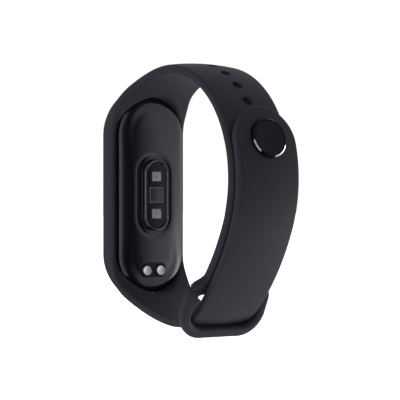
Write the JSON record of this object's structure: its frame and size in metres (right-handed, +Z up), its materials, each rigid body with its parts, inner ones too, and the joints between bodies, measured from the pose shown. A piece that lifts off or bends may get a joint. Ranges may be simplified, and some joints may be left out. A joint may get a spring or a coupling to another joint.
{
  "type": "fitness tracker band",
  "caption": "Slim wrist fitness tracker: a long capsule with a rear optical sensor, held in a soft strap that loops through a keeper ring and snaps shut with a round stud.",
  "frame": {"origin": "middle of the wrist opening, level with the middle of the tracker capsule", "axes": "+X from the tracker to the clasp, +Y along the wrist across the strap's width, +Z up, along the capsule towards the hole arm"},
  "size_m": [0.0575, 0.0224, 0.0629],
  "materials": {
    "strap_silicone": "matte moulded silicone",
    "stud_black": "flat black with a fine satin",
    "polished_steel": "polished",
    "front_glass": "black-masked cover glass",
    "gasket": "matte",
    "shell_black": "glossy",
    "sensor_window": "glossy dark window",
    "led_white": "clear resin over pale chips",
    "photodiode": "dark filtered silicon",
    "photodiode_frame": "satin grey",
    "circuit_board": "solder mask",
    "display": "unlit panel",
    "frame_metal": "satin",
    "flex_film": "polyimide",
    "battery_foil": "foil",
    "chip": "moulded",
    "copper": "plated",
    "contact_metal": "fine turned",
    "weight_metal": "tungsten alloy"
  },
  "bodies": {
    "strap": {"strap_pod": "strap_silicone", "hole_arm": "strap_silicone", "engaged_hole_rim": "strap_silicone", "keeper_ring": "strap_silicone", "lower_arm": "strap_silicone"},
    "tail_1": {"tail_segment_1": "strap_silicone"},
    "tail_2": {"tail_segment_2": "strap_silicone"},
    "tail_3": {"tail_segment_3": "strap_silicone"},
    "tail_4": {"tail_segment_4": "strap_silicone"},
    "tail_5": {"tail_segment_5": "strap_silicone", "stud_cap": "stud_black", "stud_rim": "polished_steel", "stud_washer": "polished_steel", "stud_pin": "polished_steel"},
    "capsule": {"front_glass": "front_glass", "glass_gasket": "gasket", "rear_shell": "shell_black", "sensor_bezel": "shell_black", "sensor_window": "sensor_window", "sensor_leds": "led_white", "photodiode": "photodiode", "photodiode_frame": "photodiode_frame", "sensor_board": "circuit_board", "display_adhesive": "gasket", "display_panel": "display", "mid_frame": "frame_metal", "display_flex": "flex_film", "main_board": "circuit_board", "battery": "battery_foil", "processor_shield": "frame_metal", "memory_chip": "chip", "motion_sensor": "chip", "board_connector": "chip", "bluetooth_antenna": "copper", "contact_springs": "contact_metal", "charge_contacts": "contact_metal", "contact_seals": "gasket", "motor_can": "frame_metal"},
    "motor_rotor": {"motor_shaft": "polished_steel", "motor_weight": "weight_metal"}
  },
  "joints": [
    {"name": "tail_unfasten", "type": "hinge", "parent": "strap", "child": "tail_1", "pos_m": [0.01526, 0, -0.02356], "axis": [0, 1, 0], "range_deg": [0, 9], "deforming": ["engaged_hole_rim"]},
    {"name": "tail_bend_2", "type": "hinge", "parent": "tail_1", "child": "tail_2", "pos_m": [0.0205, 0, -0.01677], "axis": [0, 1, 0], "range_deg": [0, 10.8]},
    {"name": "tail_bend_3", "type": "hinge", "parent": "tail_2", "child": "tail_3", "pos_m": [0.02464, 0, -0.00924], "axis": [0, 1, 0], "range_deg": [0, 12.6]},
    {"name": "tail_bend_4", "type": "hinge", "parent": "tail_3", "child": "tail_4", "pos_m": [0.02716, 0, -0.00071], "axis": [0, 1, 0], "range_deg": [0, 16.2]},
    {"name": "stud_end_lift", "type": "hinge", "parent": "tail_4", "child": "tail_5", "pos_m": [0.02724, 0, 0.00713], "axis": [0, 1, 0], "range_deg": [0, 21.6]},
    {"name": "capsule_eject", "type": "slide", "parent": "strap", "child": "capsule", "axis": [-1, 0, 0], "range_m": [0, 0.014]},
    {"name": "motor_spin", "type": "hinge", "parent": "capsule", "child": "motor_rotor", "pos_m": [-0.0248, 0, -0.0106], "axis": [0, 1, 0], "continuous": true}
  ],
  "couplings": [
    {"joint": "tail_bend_2", "follows": "tail_unfasten", "ratio": 1.2},
    {"joint": "tail_bend_3", "follows": "tail_unfasten", "ratio": 1.4},
    {"joint": "tail_bend_4", "follows": "tail_unfasten", "ratio": 1.8},
    {"joint": "stud_end_lift", "follows": "tail_unfasten", "ratio": 2.4}
  ]
}
